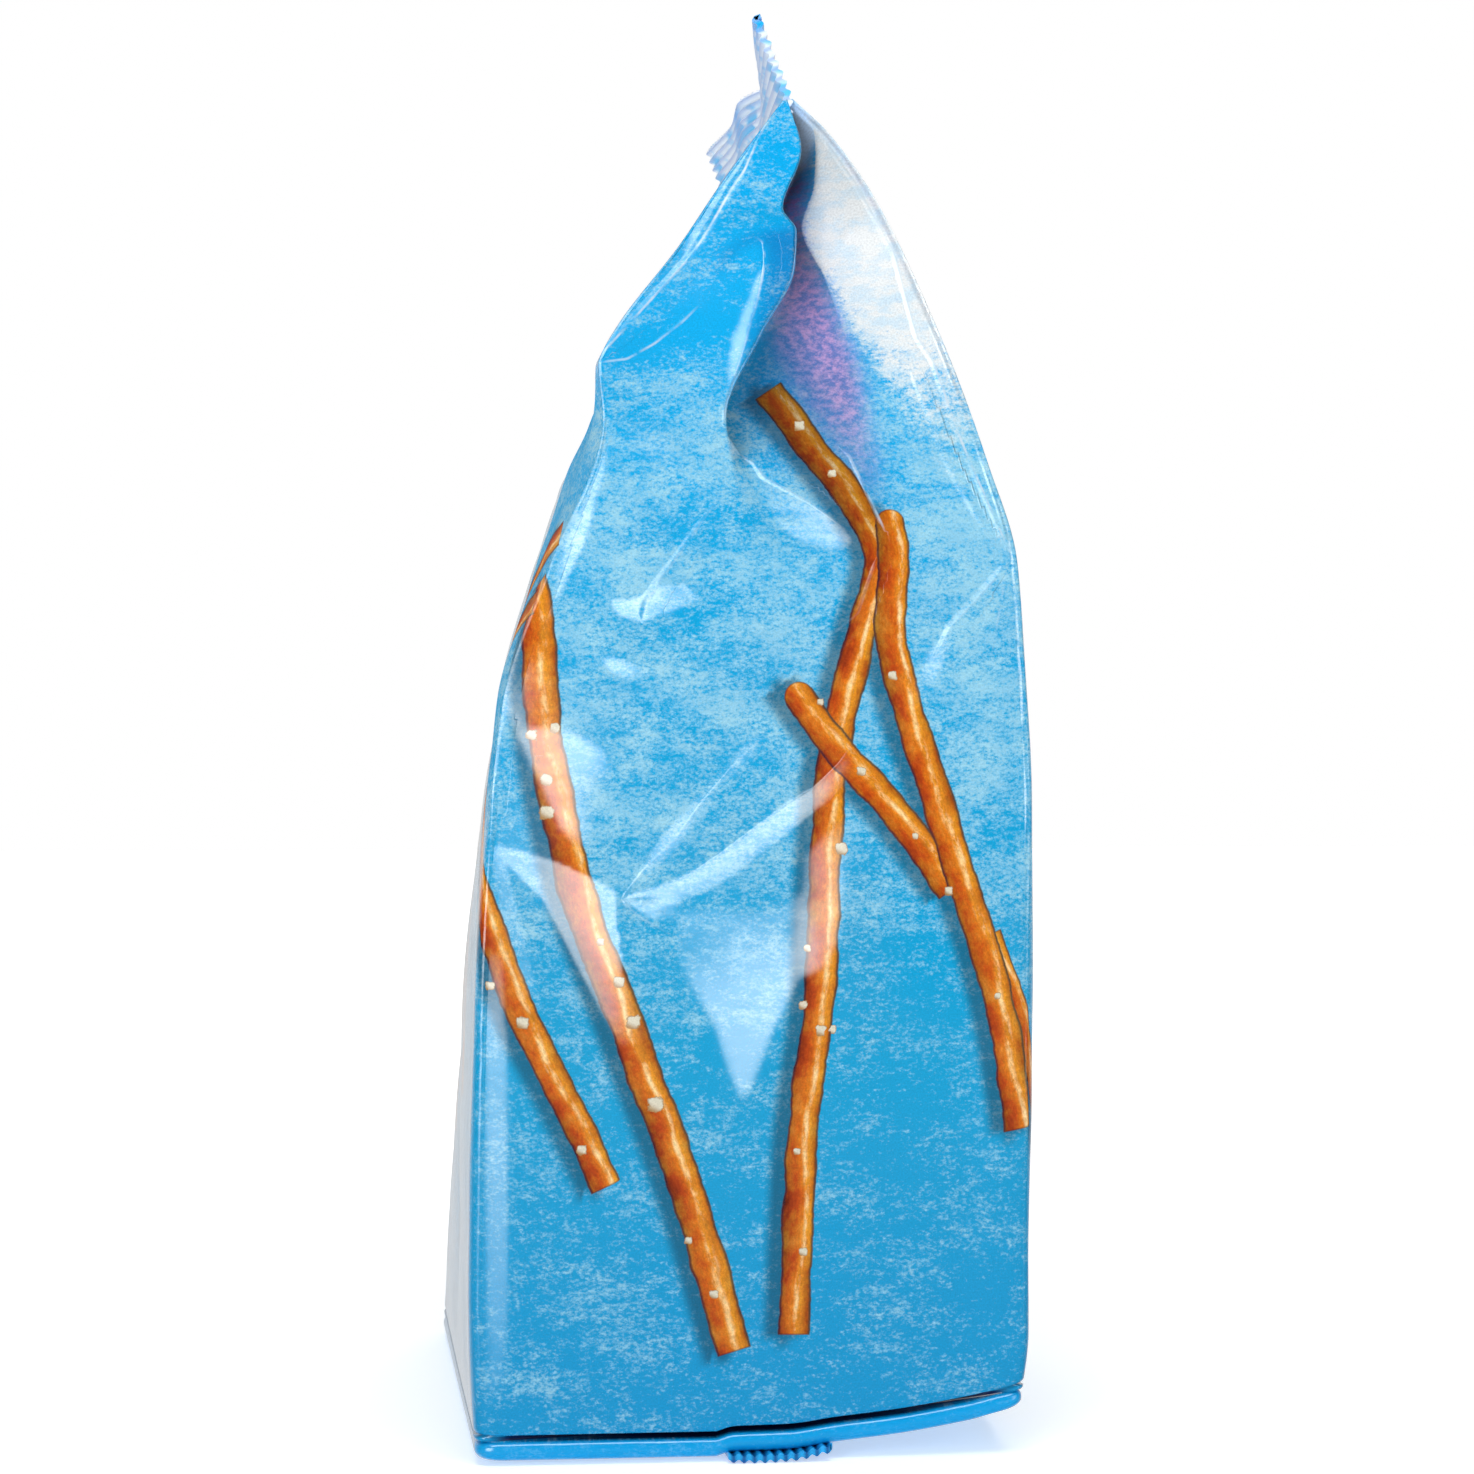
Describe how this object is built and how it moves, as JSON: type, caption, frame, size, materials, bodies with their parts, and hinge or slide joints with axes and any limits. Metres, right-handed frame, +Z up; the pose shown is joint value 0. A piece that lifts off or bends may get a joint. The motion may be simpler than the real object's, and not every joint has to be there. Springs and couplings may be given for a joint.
{
  "type": "sealed film bag of pretzel sticks",
  "caption": "Upright side-gusseted film bag of pretzel sticks, boxy below, with a tapered empty top, a crimped top seal and a folded crimped base seal.",
  "frame": {"origin": "centre of the bag's outline, on the surface that its base rests on", "axes": "+Z up to the top seal, -Y towards the narrow side with the folded flap, +X to that side's right"},
  "size_m": [0.1008, 0.1364, 0.2423],
  "materials": {
    "printed_film": "glossy printed packaging film, blue mottled print with printed pretzel sticks, creased"
  },
  "bodies": {
    "root": {"bag": "printed_film"}
  },
  "joints": []
}
